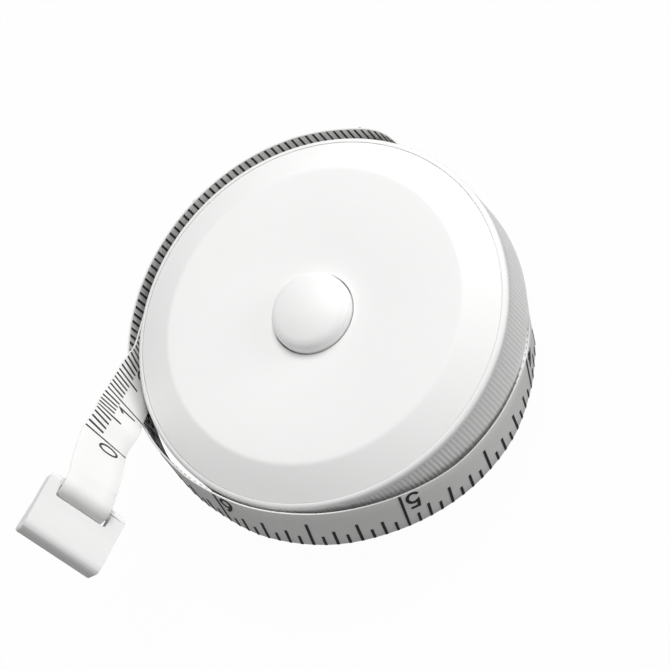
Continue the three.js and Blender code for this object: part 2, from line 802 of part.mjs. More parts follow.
// Station of the tape at a share of its length outside the reel.
function runStation(share) {
  const at = runCurve.getUtoTmapping(share);
  const point = runCurve.getPoint(at);
  const along = runCurve.getTangent(at);
  const twist = twistCurve.getPoint(at).x;
  const upright = UP.clone().addScaledVector(along, -UP.dot(along)).normalize();
  const across = upright.applyAxisAngle(along, radians(twist));
  return { point, across, normal: along.clone().cross(across) };
}

const runLength = runCurve.getLength();

function runStations(from, to) {
  const steps = Math.ceil((to - from) / TAPE_STEP);
  const stations = [];
  for (let i = 0; i <= steps; i += 1) {
    stations.push(runStation((from + ((to - from) * i) / steps) / runLength));
  }
  return stations;
}

// Loop round the bar and the end folded back behind the tape.
function loopStations() {
  const across = tabAcross.clone().negate();
  const outline = [];
  const steps = 8;
  for (let i = 1; i <= steps; i += 1) {
    const turn = Math.PI / 2 - (Math.PI * i) / steps;
    outline.push([loopRadius * Math.cos(turn), loopRadius * Math.sin(turn), turn]);
  }
  const fall = Math.atan2(loopRadius - layerShift, FOLD_LENGTH);
  const straight = 2;
  for (let i = 1; i <= straight; i += 1) {
    const along = (-FOLD_LENGTH * i) / straight;
    const out = -loopRadius + ((loopRadius - layerShift) * i) / straight;
    outline.push([along, out, -Math.PI / 2 - fall]);
  }
  return outline.map(([along, out, turn]) => {
    const outwards = loopAlong.clone().multiplyScalar(Math.cos(turn));
    outwards.addScaledVector(loopFace, Math.sin(turn));
    return { point: loopPoint(along, out), across, normal: outwards.negate() };
  });
}

// Lengths along the tape where its stretches meet: behind the case and where it comes up
// over its own first layer.
function lengthAt(routeRow) {
  const at = (runFromSlot.length + routeRow) / (runPoints.length - 1);
  const share = runCurve.getLengths(runCurve.arcLengthDivisions);
  return share[Math.round(at * runCurve.arcLengthDivisions)];
}

const exitEnd = lengthAt(TAPE_ROUTE.findIndex(([angle]) => angle >= 112));
const wrapEnd = lengthAt(TAPE_ROUTE.findIndex(([angle]) => angle >= 500));
const exitStations = runStations(0, exitEnd - TAPE_JOIN / 2);
const wrapStations = runStations(exitEnd + TAPE_JOIN / 2, wrapEnd - TAPE_JOIN / 2);
const freeStations = [...runStations(wrapEnd + TAPE_JOIN / 2, runLength), ...loopStations()];
const allStations = [...exitStations, ...wrapStations, ...freeStations];
const tapeGap = leastGap(allStations, TAPE_WIDTH, TAPE_THICKNESS, 10);
console.log(`tape: ${runLength.toFixed(1)} mm outside the reel, least gap to itself ${tapeGap.toFixed(2)} mm`);

add('tape_exit', strip(exitStations, TAPE_WIDTH, TAPE_THICKNESS), PRINTED_WHITE, 0.5);
add('tape_wrap', strip(wrapStations, TAPE_WIDTH, TAPE_THICKNESS), PRINTED_WHITE, 0.5);
add('tape_free_end', strip(freeStations, TAPE_WIDTH, TAPE_THICKNESS), PRINTED_WHITE, 0.5);

// Pull tab: a wedge with a round bar at its thin end, cut by the slot for the tape

function endTab() {
  const farEnd = TAB_LENGTH - BAR_RADIUS;
  const back = BAR_RADIUS - TAB_END_THICKNESS;
  const side = new THREE.Shape();
  side.moveTo(0, BAR_RADIUS);
  side.absarc(0, 0, BAR_RADIUS, Math.PI / 2, (3 * Math.PI) / 2, false);
  side.lineTo(TAB_BEND, -BAR_RADIUS);
  side.lineTo(farEnd, back);
  side.lineTo(farEnd, BAR_RADIUS);
  side.closePath();
  const wedge = new THREE.ExtrudeGeometry(side, { depth: TAB_WIDTH, bevelEnabled: false, curveSegments: 8 });
  wedge.rotateX(Math.PI / 2).translate(0, TAB_WIDTH / 2, 0);
  const half = TAB_WIDTH / 2;
  const plan = new THREE.Shape();
  plan.moveTo(farEnd + OVERLAP, -half);
  plan.lineTo(farEnd + OVERLAP, half);
  plan.lineTo(TAB_CORNER - BAR_RADIUS, half);
  plan.absarc(TAB_CORNER - BAR_RADIUS, half - TAB_CORNER, TAB_CORNER, Math.PI / 2, Math.PI, false);
  plan.lineTo(-BAR_RADIUS, TAB_CORNER - half);
  plan.absarc(TAB_CORNER - BAR_RADIUS, TAB_CORNER - half, TAB_CORNER, Math.PI, (3 * Math.PI) / 2, false);
  plan.closePath();
  const height = 2 * TAB_END_THICKNESS;
  const outline = new THREE.ExtrudeGeometry(plan, { depth: height, bevelEnabled: false, curveSegments: 5 });
  outline.translate(0, 0, -height / 2);
  const slotWidth = TAPE_WIDTH + 2 * TAB_SLOT_MARGIN;
  const slotEnd = BAR_RADIUS + TAB_SLOT;
  const slot = new THREE.BoxGeometry(slotEnd, slotWidth, height).translate(slotEnd / 2, 0, 0);
  const bar = new THREE.CylinderGeometry(BAR_RADIUS, BAR_RADIUS, 2 * TAB_WIDTH, 16);
  const cut = solid(slot).subtract(solid(bar));
  const tab = geometryOf(solid(wedge).intersect(solid(outline)).subtract(cut));
  const frame = new THREE.Matrix4().makeBasis(tabAlong, tabAcross, tabFace).setPosition(barCentre);
  return tab.applyMatrix4(frame);
}

add('end_tab', endTab(), WHITE, 0.45);

export default object;
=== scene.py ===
"""Round push-button tape measure with a loose turn of printed tape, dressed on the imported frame."""
import logging
import math
from collections.abc import Callable, Sequence
from dataclasses import dataclass, field
from enum import Enum

import bmesh
import bpy
from mathutils import Matrix, Quaternion, Vector


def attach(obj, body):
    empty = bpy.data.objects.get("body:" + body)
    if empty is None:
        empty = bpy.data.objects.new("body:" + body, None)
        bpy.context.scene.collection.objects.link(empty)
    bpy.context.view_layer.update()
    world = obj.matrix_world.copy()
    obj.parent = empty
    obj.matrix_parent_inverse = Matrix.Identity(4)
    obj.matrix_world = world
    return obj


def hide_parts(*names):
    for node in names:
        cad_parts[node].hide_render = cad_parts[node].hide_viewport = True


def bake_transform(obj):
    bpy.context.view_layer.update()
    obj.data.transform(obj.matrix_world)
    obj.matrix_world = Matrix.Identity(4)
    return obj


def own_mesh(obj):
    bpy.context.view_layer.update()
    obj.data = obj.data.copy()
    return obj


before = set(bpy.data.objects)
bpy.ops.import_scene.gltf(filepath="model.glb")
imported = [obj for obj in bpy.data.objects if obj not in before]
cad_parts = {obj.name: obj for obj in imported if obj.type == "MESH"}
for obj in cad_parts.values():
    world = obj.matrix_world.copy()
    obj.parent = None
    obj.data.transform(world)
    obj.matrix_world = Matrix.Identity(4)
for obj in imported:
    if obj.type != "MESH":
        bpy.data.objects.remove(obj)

LOG = logging.getLogger("tape_measure")
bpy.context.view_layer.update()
MM = 0.001
MERGE = 1e-4
UP = Vector((0.0, 0.0, 1.0))
ORIGIN = Vector((0.0, 0.0, 0.0))
GLOSS_SWING = 0.18

Point2 = tuple[float, float]
Corner = tuple[float, float, float]
Colour = tuple[float, float, float]


class Slot(Enum):
    """Material slots of the record that new pieces use."""

    CASE = "case"
    BUTTON = "button"
    TAB = "tab"
    TAPE = "tape"
    SPRING = "spring"


class Scale(Enum):
    """The two printed scales: which face they are on and which edge their marks start from."""

    METRIC = -1
    INCH = 1


# Shader helpers


def add_node(tree: bpy.types.NodeTree, kind: str, **values: object) -> bpy.types.Node:
    """Adds a node and sets its properties and inputs.

    Args:
        tree: the node tree to add to.
        kind: the node's type name.
        values: property names, or input names with spaces written as underscores.

    Returns:
        The new node.
    """
    node = tree.nodes.new(kind)
    for key, value in values.items():
        if hasattr(node, key):
            setattr(node, key, value)
        else:
            node.inputs[key.replace("_", " ")].default_value = value
    return node


def moulded_surface() -> bpy.types.NodeTree:
    """The shared group for moulded surfaces: patchy tone, uneven gloss and a fine grain.

    Returns:
        The node group, built on the first call.
    """
    name = "moulded_surface"
    if name in bpy.data.node_groups:
        return bpy.data.node_groups[name]
    tree = bpy.data.node_groups.new(name, "ShaderNodeTree")
    for way, labels in (
        ("INPUT", ("Colour", "Vary", "Roughness", "Patch Scale", "Grain Scale")),
        ("OUTPUT", ("Colour", "Roughness", "Height")),
    ):
        for label in labels:
            kind = "NodeSocketColor" if label == "Colour" else "NodeSocketFloat"
            tree.interface.new_socket(label, in_out=way, socket_type=kind)
    given = tree.nodes.new("NodeGroupInput")
    result = tree.nodes.new("NodeGroupOutput")
    place = tree.nodes.new("ShaderNodeTexCoord")
    patch = add_node(tree, "ShaderNodeTexNoise", Detail=3.0, Roughness=0.55)
    grain = add_node(tree, "ShaderNodeTexNoise", Detail=4.0, Roughness=0.6)
    for noise, label in ((patch, "Patch Scale"), (grain, "Grain Scale")):
        tree.links.new(place.outputs["Object"], noise.inputs["Vector"])
        tree.links.new(given.outputs[label], noise.inputs["Scale"])
    centred = add_node(tree, "ShaderNodeMath", operation="SUBTRACT")
    centred.inputs[1].default_value = 0.5
    tree.links.new(patch.outputs["Fac"], centred.inputs[0])
    swing = add_node(tree, "ShaderNodeMath", operation="MULTIPLY_ADD")
    swing.inputs[2].default_value = 1.0
    tree.links.new(centred.outputs[0], swing.inputs[0])
    tree.links.new(given.outputs["Vary"], swing.inputs[1])
    tone = add_node(tree, "ShaderNodeVectorMath", operation="SCALE")
    tree.links.new(given.outputs["Colour"], tone.inputs[0])
    tree.links.new(swing.outputs[0], tone.inputs["Scale"])
    tree.links.new(tone.outputs[0], result.inputs["Colour"])
    gloss = add_node(tree, "ShaderNodeMath", operation="MULTIPLY_ADD")
    gloss.inputs[1].default_value = GLOSS_SWING
    tree.links.new(centred.outputs[0], gloss.inputs[0])
    tree.links.new(given.outputs["Roughness"], gloss.inputs[2])
    tree.links.new(gloss.outputs[0], result.inputs["Roughness"])
    tree.links.new(grain.outputs["Fac"], result.inputs["Height"])
    return tree


@dataclass(frozen=True)
class MouldedFinish:
    """A finish with patchy tone and a fine grain, for plastic, rubber, ink and steel."""

    name: str
    colour: Colour
    roughness: float
    vary: float = 0.03
    patch_scale: float = 140.0
    grain_scale: float = 5200.0
    grain_height: float = 4e-6
    metallic: float = 0.0
    specular: float = 0.5

    def material(self) -> bpy.types.Material:
        """The material, built on the first call."""
        if self.name in bpy.data.materials:
            return bpy.data.materials[self.name]
        made = bpy.data.materials.new(self.name)
        made.use_nodes = True
        tree = made.node_tree
        shader = tree.nodes["Principled BSDF"]
        shader.inputs["Metallic"].default_value = self.metallic
        shader.inputs["Specular IOR Level"].default_value = self.specular
        surface = tree.nodes.new("ShaderNodeGroup")
        surface.node_tree = moulded_surface()
        surface.inputs["Colour"].default_value = (*self.colour, 1.0)
        surface.inputs["Vary"].default_value = self.vary
        surface.inputs["Roughness"].default_value = self.roughness
        surface.inputs["Patch Scale"].default_value = self.patch_scale
        surface.inputs["Grain Scale"].default_value = self.grain_scale
        bump = add_node(tree, "ShaderNodeBump", Strength=0.6, Distance=self.grain_height)
        tree.links.new(surface.outputs["Colour"], shader.inputs["Base Color"])
        tree.links.new(surface.outputs["Roughness"], shader.inputs["Roughness"])
        self.relief(tree, surface, bump)
        tree.links.new(bump.outputs["Normal"], shader.inputs["Normal"])
        return made

    def relief(self, tree: bpy.types.NodeTree, surface: bpy.types.Node, bump: bpy.types.Node) -> None:
        """Feeds the bump with the grain.

        Args:
            tree: the material's node tree.
            surface: the moulded surface group.
            bump: the bump node.
        """
        tree.links.new(surface.outputs["Height"], bump.inputs["Height"])


@dataclass(frozen=True)
class TapeFinish(MouldedFinish):
    """Coated glass-fibre tape: the grain of the coat over the weave of its threads."""

    threads: float = 26.0
    weave_share: float = 0.6

    def relief(self, tree: bpy.types.NodeTree, surface: bpy.types.Node, bump: bpy.types.Node) -> None:
        """Feeds the bump with the grain and the weave.

        Args:
            tree: the material's node tree.
            surface: the moulded surface group.
            bump: the bump node.
        """
        place = add_node(tree, "ShaderNodeUVMap", uv_map="tape")
        waves = []
        for direction in ("X", "Y"):
            wave = add_node(tree, "ShaderNodeTexWave", Scale=self.threads, bands_direction=direction)
            tree.links.new(place.outputs["UV"], wave.inputs["Vector"])
            waves.append(wave)
        weave = add_node(tree, "ShaderNodeMath", operation="MULTIPLY")
        tree.links.new(waves[0].outputs["Fac"], weave.inputs[0])
        tree.links.new(waves[1].outputs["Fac"], weave.inputs[1])
        height = add_node(tree, "ShaderNodeMath", operation="MULTIPLY_ADD")
        height.inputs[1].default_value = self.weave_share
        tree.links.new(weave.outputs[0], height.inputs[0])
        tree.links.new(surface.outputs["Height"], height.inputs[2])
        tree.links.new(height.outputs[0], bump.inputs["Height"])


WHITE_CASE = MouldedFinish("white_case_plastic", (0.86, 0.86, 0.855), 0.52, specular=0.3)
WHITE_FACE = MouldedFinish("white_face_plastic", (0.88, 0.88, 0.875), 0.55, specular=0.3)
WHITE_BUTTON = MouldedFinish("white_button_plastic", (0.87, 0.87, 0.865), 0.42, specular=0.4)
WHITE_TAB = MouldedFinish("white_tab_plastic", (0.86, 0.86, 0.855), 0.45, specular=0.35)
COATED_TAPE = TapeFinish("coated_tape", (0.83, 0.83, 0.82), 0.55, vary=0.04, specular=0.3)
BLACK_INK = MouldedFinish("black_ink", (0.02, 0.02, 0.021), 0.55, vary=0.5, patch_scale=900.0)
NATURAL_PLASTIC = MouldedFinish("natural_plastic", (0.7, 0.69, 0.64), 0.5)
DARK_RUBBER = MouldedFinish("dark_rubber", (0.025, 0.025, 0.027), 0.8, vary=0.3)
SPRING_STEEL = MouldedFinish("spring_steel", (0.42, 0.43, 0.45), 0.3, vary=0.15, metallic=1.0)


# Mesh helpers


def spun(profile: Sequence[Point2], steps: int) -> bmesh.types.BMesh:
    """Turns an outline about the Z axis.

    Args:
        profile: radius and height of each point, in mm. An outline that starts and ends on
            the axis stays open there, and any other is closed.
        steps: steps of the full turn.

    Returns:
        The turned body with its faces outwards.
    """
    bm = bmesh.new()
    verts = [bm.verts.new((radius, 0.0, height)) for radius, height in profile]
    edges = [bm.edges.new(pair) for pair in zip(verts, verts[1:])]
    if profile[0][0] > 0.0:
        edges.append(bm.edges.new((verts[-1], verts[0])))
    bmesh.ops.spin(
        bm, geom=verts + edges, cent=ORIGIN, axis=UP, dvec=ORIGIN,
        angle=2 * math.pi, steps=steps, use_merge=True, use_normal_flip=False, use_duplicate=False,
    )
    bmesh.ops.remove_doubles(bm, verts=bm.verts, dist=MERGE)
    bmesh.ops.recalc_face_normals(bm, faces=bm.faces)
    return bm


def rounded(corners: Sequence[Corner], steps: int = 4) -> list[Point2]:
    """Rounds the corners of a closed outline.

    Args:
        corners: two coordinates and the reach of the rounding along both sides, in mm.
        steps: steps of each rounding.

    Returns:
        The outline's points.
    """
    points: list[Point2] = []
    for i, (x, y, reach) in enumerate(corners):
        here = Vector((x, y))
        if reach == 0.0:
            points.append((x, y))
            continue
        before = Vector(corners[i - 1][:2])
        after = Vector(corners[(i + 1) % len(corners)][:2])
        start = here + (before - here).normalized() * reach
        end = here + (after - here).normalized() * reach
        for k in range(steps + 1):
            t = k / steps
            at = start * (1 - t) ** 2 + here * (2 * t * (1 - t)) + end * t ** 2
            points.append((at.x, at.y))
    return points


def prism(outline: Sequence[Point2], depth: float) -> bmesh.types.BMesh:
    """Extrudes a closed outline to both sides of its plane.

    Args:
        outline: the outline's points in the XY plane, in mm.
        depth: full depth along Z, in mm.

    Returns:
        The closed body.
    """
    bm = bmesh.new()
    face = bm.faces.new([bm.verts.new((x, y, -depth / 2)) for x, y in outline])
    grown = bmesh.ops.extrude_face_region(bm, geom=[face])
    raised = [v for v in grown["geom"] if isinstance(v, bmesh.types.BMVert)]
    bmesh.ops.translate(bm, verts=raised, vec=(0.0, 0.0, depth))
    bmesh.ops.recalc_face_normals(bm, faces=bm.faces)
    return bm


def close_ends(bm: bmesh.types.BMesh) -> None:
    """Joins the seams of swept bands and closes their ends.

    Args:
        bm: the mesh of the bands.
    """
    bmesh.ops.remove_doubles(bm, verts=bm.verts, dist=MERGE)
    ends = [edge for edge in bm.edges if edge.is_boundary]
    bmesh.ops.holes_fill(bm, edges=ends, sides=0)
    bmesh.ops.recalc_face_normals(bm, faces=bm.faces)


def made_object(bm: bmesh.types.BMesh, name: str, scale: float = MM) -> bpy.types.Object:
    """Writes a bmesh to a new object at the origin.

    Args:
        bm: the bmesh, which is freed.
        name: name of the object and its mesh.
        scale: factor from the bmesh's unit to metres.

    Returns:
        The object, linked to the scene.
    """
    bmesh.ops.scale(bm, vec=(scale, scale, scale), verts=bm.verts)
    mesh = bpy.data.meshes.new(name)
    bm.to_mesh(mesh)
    bm.free()
    made = bpy.data.objects.new(name, mesh)
    bpy.context.scene.collection.objects.link(made)
    return made


def carve(piece: bpy.types.Object, tool: bpy.types.Object, operation: str = "DIFFERENCE") -> None:
    """Applies a boolean to a piece and removes the tool.

    Args:
        piece: the piece to change.
        tool: the closed body to cut or cross it with.
        operation: the boolean's operation.
    """
    step = piece.modifiers.new("carve", "BOOLEAN")
    step.operation = operation
    step.object = tool
    step.solver = "EXACT"
    graph = bpy.context.evaluated_depsgraph_get()
    mesh = bpy.data.meshes.new_from_object(piece.evaluated_get(graph))
    piece.modifiers.clear()
    old = piece.data
    piece.data = mesh
    bpy.data.meshes.remove(old)
    bpy.data.meshes.remove(tool.data)
    mesh.name = piece.name


def dress(
    piece: bpy.types.Object, finish: MouldedFinish, slot: Slot, body: str | None,
    nodes: Sequence[str] = (), crease: float = 32.0,
) -> bpy.types.Object:
    """Shades a piece, gives it its finish and hangs it on its body.

    Args:
        piece: the piece.
        finish: its finish.
        slot: the record's material slot.
        body: the body it rides on, or None to leave it unattached.
        nodes: CAD nodes that it stands for.
        crease: edges over this angle in degrees stay sharp.

    Returns:
        The piece.
    """
    piece.data.shade_smooth()
    piece.data.set_sharp_from_angle(angle=math.radians(crease))
    piece.data.materials.clear()
    piece.data.materials.append(finish.material())
    if body is not None:
        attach(piece, body)
    if nodes:
        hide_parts(*nodes)
    LOG.info("%s: %d faces", piece.name, len(piece.data.polygons))
    return piece


# Tape route


@dataclass
class Station:
    """A place along the tape, in mm: middle, width direction and outer face direction."""

    point: Vector
    across: Vector
    normal: Vector


def polar(radius: float, degrees: float, height: float) -> Vector:
    """A point from its radius, angle and height."""
    turn = math.radians(degrees)
    return Vector((radius * math.cos(turn), radius * math.sin(turn), height))


@dataclass
class TabFrame:
    """Where the pull tab sits, in mm and degrees, and the loop of tape round its bar.

    swing turns the loop about the bar from the tab's own direction, and loop_shift moves it
    along the bar. fold is the straight run of tape before the bar, and tail is the end that
    is folded back, which lies tail_skew to one side.
    """

    bar_radius: float = 0.8
    heading: float = 205.6
    pitch: float = 12.1
    roll: float = 47.0
    swing: float = 33.0
    bar_angle: float = 186.75
    bar_reach: float = 36.57
    bar_height: float = 32.52
    fold: float = 2.6
    loop_shift: float = -0.4
    tail: float = 2.4
    tail_skew: float = 0.6
    loop_radius: float = 1.455
    layer_shift: float = 0.575

    def __post_init__(self) -> None:
        """Works out the directions of the tab and of the loop."""
        pitch = math.radians(self.pitch)
        self.bar = polar(self.bar_reach, self.bar_angle, self.bar_height)
        self.along = polar(math.cos(pitch), self.heading, math.sin(pitch))
        level = polar(1.0, self.heading + 90.0, 0.0)
        self.across = Quaternion(self.along, -math.radians(self.roll)) @ level
        self.face = self.along.cross(self.across)
        self.loop_along = Quaternion(self.across, -math.radians(self.swing)) @ self.along
        self.loop_face = self.loop_along.cross(self.across)

    def loop_point(self, along: float, out: float) -> Vector:
        """A point in the plane across the bar, in the loop's directions."""
        return self.bar + self.across * self.loop_shift + self.loop_along * along + self.loop_face * out

    def loop_twist(self) -> float:
        """Twist in degrees that brings the tape's width in line with the bar."""
        upright = (UP - self.loop_along * UP.dot(self.loop_along)).normalized()
        side = self.loop_along.cross(upright)
        return math.degrees(math.atan2(-self.across.dot(side), -self.across.dot(upright)))

    def loop_stations(self, steps: int = 16, straight: int = 6) -> list[Station]:
        """The tape's way round the bar and back behind itself.

        Args:
            steps: steps of the half turn.
            straight: steps of the end that is folded back.

        Returns:
            The stations after the top of the bar.
        """
        places = []
        for i in range(1, steps + 1):
            turn = math.pi / 2 - math.pi * i / steps
            places.append((self.loop_radius * math.cos(turn), self.loop_radius * math.sin(turn), turn))
        fall = math.atan2(self.loop_radius - self.layer_shift, self.tail)
        for i in range(1, straight + 1):
            share = i / straight
            out = -self.loop_radius + (self.loop_radius - self.layer_shift) * share
            places.append((-self.tail * share, out, -math.pi / 2 - fall))
        stations = []
        for along, out, turn in places:
            away = self.loop_along * math.cos(turn) + self.loop_face * math.sin(turn)
            aside = self.across * self.tail_skew * max(-along / self.tail, 0.0)
            stations.append(Station(self.loop_point(along, out) + aside, -self.across, -away))
        return stations


@dataclass
class TapeRoute:
    """The middle line of the tape outside the reel, in mm.

    rows hold the angle about the case, the distance from its wall, the depth below the front
    face and the twist, upper edge outwards.
    """

    tab: TabFrame
    case_radius: float = 25.75
    case_height: float = 18.0
    plane: float = 11.0
    leave_radius: float = 18.557
    slot_radius: float = 24.875
    slot_angle: float = 22.0
    exit_angle: float = 112.0
    zero_angle: float = 531.1
    table_step: float = 0.2
    first_runs: tuple[float, ...] = (0.5, 5.0, 10.0)
    past_slot: float = 1.6
    rows: tuple[tuple[float, float, float, float], ...] = (
        (32, 1.6, 7.0, 0), (42, 1.85, 7.0, 0), (58, 2.05, 6.95, 0), (76, 2.1, 6.95, 0),
        (94, 2.1, 6.95, 0), (112, 2.1, 6.95, 0), (130, 2.15, 7.1, 0), (148, 2.2, 7.4, -2),
        (162, 1.95, 7.4, -5), (176, 1.35, 6.85, -7), (190, 1.05, 5.7, -9), (208, 1.3, 5.4, -13.5),
        (228, 1.45, 6.3, -14), (248, 1.4, 7.9, -8), (266, 1.1, 10.1, 0), (284, 0.47, 11.8, 4),
        (300, -0.22, 12.9, 11), (309, -0.72, 13.65, 14), (318, -1.15, 14.1, 15),
        (327, -2.1, 14.2, 28), (336, -2.75, 14.15, 41), (354, -3.0, 14.3, 43), (372, -2.9, 14.3, 44),
        (390, -2.2, 13.95, 41), (406, -0.85, 13.0, 29), (420, 0.25, 11.6, 16), (434, 0.8, 9.8, 7),
        (448, 0.8, 8.3, 2), (462, 0.7, 7.5, 0), (476, 0.65, 7.4, 0), (490, 0.7, 7.2, 0),
        (500, 0.95, 6.1, 2), (509, 1.3, 3.15, 15), (517.4, 2.0, -0.35, 20),
        (524.5, 2.78, -3.81, 27), (531.1, 4.76, -6.92, 27),
    )

    def __post_init__(self) -> None:
        """Sets the points and twists of the curve and measures its length."""
        self.slot_run = math.sqrt(self.slot_radius ** 2 - self.leave_radius ** 2)
        turn = math.degrees(math.atan2(self.slot_run, self.leave_radius))
        self.leave_angle = self.slot_angle - turn
        self.leave_point = polar(self.leave_radius, self.leave_angle, self.plane)
        self.leave_way = polar(1.0, self.leave_angle + 90.0, 0.0)
        runs = (*self.first_runs, self.slot_run, self.slot_run + self.past_slot)
        start = [self.leave_point + self.leave_way * run for run in runs]
        turn_points = [
            polar(self.case_radius + standoff, angle, self.case_height - depth)
            for angle, standoff, depth, _ in self.rows
        ]
        tab, radius = self.tab, self.tab.loop_radius
        end = [tab.loop_point(-tab.fold * share, radius) for share in (1.0, 0.5, 0.0)]
        self.points = start + turn_points + end
        twist = tab.loop_twist()
        self.twists = [0.0] * len(start) + [row[3] for row in self.rows] + [twist] * len(end)
        self.first_row = len(start)
        self.measure()

    def around(self, values: Sequence, i: int) -> tuple:
        """Four neighbours of a curve segment, with the ends carried on straight."""
        first = values[i - 1] if i > 0 else values[0] * 2 - values[1]
        last = values[i + 2] if i + 2 < len(values) else values[-1] * 2 - values[-2]
        return first, values[i], values[i + 1], last

    def segment(self, t: float) -> tuple[int, float]:
        """Segment and place in it at a share of the whole curve."""
        count = len(self.points) - 1
        at = min(max(t, 0.0), 1.0) * count
        i = min(int(at), count - 1)
        return i, at - i

    def point(self, t: float) -> Vector:
        """A point of the centripetal curve.

        Args:
            t: share of the curve's segments.

        Returns:
            The point in mm.
        """
        i, w = self.segment(t)
        p0, p1, p2, p3 = self.around(self.points, i)
        d0, d1, d2 = (math.sqrt((b - a).length) for a, b in ((p0, p1), (p1, p2), (p2, p3)))
        t1 = ((p1 - p0) / d0 - (p2 - p0) / (d0 + d1) + (p2 - p1) / d1) * d1
        t2 = ((p2 - p1) / d1 - (p3 - p1) / (d1 + d2) + (p3 - p2) / d2) * d1
        square = p1 * -3 + p2 * 3 - t1 * 2 - t2
        cube = p1 * 2 - p2 * 2 + t1 + t2
        return p1 + t1 * w + square * w ** 2 + cube * w ** 3

    def twist(self, t: float) -> float:
        """Twist in degrees at a share of the curve's segments."""
        i, w = self.segment(t)
        x0, x1, x2, x3 = self.around(self.twists, i)
        t1, t2 = (x2 - x0) / 2, (x3 - x1) / 2
        square = -3 * x1 + 3 * x2 - 2 * t1 - t2
        cube = 2 * x1 - 2 * x2 + t1 + t2
        return x1 + t1 * w + square * w ** 2 + cube * w ** 3

    def measure(self, steps: int = 2000) -> None:
        """Makes the table of stations at even steps along the tape.

        Args:
            steps: steps of the curve that its length is measured on.
        """
        shares = [i / steps for i in range(steps + 1)]
        points = [self.point(t) for t in shares]
        lengths = [0.0]
        for a, b in zip(points, points[1:]):
            lengths.append(lengths[-1] + (b - a).length)
        self.length = lengths[-1]
        rows = len(self.points) - 1
        angles = [row[0] for row in self.rows]
        self.exit_end, self.zero = (
            lengths[round((self.first_row + angles.index(angle)) / rows * steps)]
            for angle in (self.exit_angle, self.zero_angle)
        )
        self.table: list[Station] = []
        count = math.ceil(self.length / self.table_step)
        k = 0
        for n in range(count + 1):
            want = self.length * n / count
            while k < steps - 1 and lengths[k + 1] < want:
                k += 1
            w = (want - lengths[k]) / (lengths[k + 1] - lengths[k])
            self.table.append(self.curve_station((k + w) / steps))

    def curve_station(self, t: float, reach: float = 1e-4) -> Station:
        """The station at a share of the curve's segments.

        Args:
            t: the share.
            reach: half the span that the direction is taken over.

        Returns:
            The station.
        """
        along = (self.point(t + reach) - self.point(t - reach)).normalized()
        upright = (UP - along * UP.dot(along)).normalized()
        across = Quaternion(along, math.radians(self.twist(t))) @ upright
        return Station(self.point(t), across, along.cross(across))

    def station(self, run: float) -> Station:
        """The station at a length along the tape from where it leaves the reel."""
        at = min(max(run / self.length, 0.0), 1.0) * (len(self.table) - 1)
        i = min(int(at), len(self.table) - 2)
        w = at - i
        a, b = self.table[i], self.table[i + 1]
        across = a.across.lerp(b.across, w).normalized()
        normal = a.normal.lerp(b.normal, w).normalized()
        return Station(a.point.lerp(b.point, w), across, normal)

    def stations(self, start: float, end: float, step: float = 0.35) -> list[Station]:
        """Stations at even steps between two lengths."""
        count = math.ceil((end - start) / step)
        return [self.station(start + (end - start) * i / count) for i in range(count + 1)]


# Printed scales


def arc(middle: Point2, half: Point2, start: float, end: float, steps: int = 16) -> list[Point2]:
    """Points of a stretch of an ellipse.

    Args:
        middle: its middle.
        half: its half width and half height.
        start: first angle in degrees.
        end: last angle in degrees.
        steps: steps between them.

    Returns:
        The points in order.
    """
    turns = [math.radians(start + (end - start) * i / steps) for i in range(steps + 1)]
    return [(middle[0] + half[0] * math.cos(t), middle[1] + half[1] * math.sin(t)) for t in turns]


# Strokes of each digit in a box of width 1 and height 1
DIGITS: dict[str, list[list[Point2]]] = {
    "0": [arc((0.5, 0.5), (0.5, 0.5), 90, 450, 28)],
    "1": [[(0.15, 0.74), (0.6, 1.0), (0.6, 0.0)]],
    "2": [[*arc((0.5, 0.7), (0.5, 0.3), 165, -35), (0.0, 0.0), (1.0, 0.0)]],
    "3": [arc((0.47, 0.75), (0.43, 0.25), 150, -90), arc((0.47, 0.26), (0.53, 0.26), 90, -150)],
    "4": [[(0.72, 0.0), (0.72, 1.0), (0.0, 0.3), (1.0, 0.3)]],
    "5": [[(0.9, 1.0), (0.18, 1.0), *arc((0.48, 0.33), (0.52, 0.33), 140, -150)]],
    "6": [[(0.8, 1.0), (0.28, 0.7), *arc((0.5, 0.3), (0.5, 0.3), 165, 525, 24)]],
    "7": [[(0.0, 1.0), (1.0, 1.0), (0.35, 0.0)]],
    "8": [arc((0.5, 0.76), (0.42, 0.24), -90, 270, 24), arc((0.5, 0.26), (0.5, 0.26), 90, 450, 24)],
    "9": [[(0.2, 0.0), (0.72, 0.3), *arc((0.5, 0.7), (0.5, 0.3), -15, 345, 24)]],
}


@dataclass(frozen=True)
class ScaleStyle:
    """How a scale is printed, in mm: its smallest step, its marks and its digits.

    marks hold how many steps lie between marks of a kind, their share of the width and
    their thickness.
    """

    unit: float
    marks: tuple[tuple[int, float, float], ...]
    digit_top: float
    digit_size: Point2
    digit_gap: float
    digit_stroke: float


INCH = 25.4
DIGIT_SPACE = 0.6
STYLES = {
    Scale.METRIC: ScaleStyle(
        1.0, ((10, 1.0, 0.22), (5, 0.6, 0.27), (1, 0.4, 0.29)), 3.0, (1.75, 2.6), 0.8, 0.32,
    ),
    Scale.INCH: ScaleStyle(
        INCH / 16,
        ((16, 1.0, 0.36), (8, 0.7, 0.39), (4, 0.55, 0.39), (2, 0.44, 0.38), (1, 0.3, 0.37)),
        3.55, (1.5, 3.05), 0.8, 0.43,
    ),
}


# Sub-assemblies


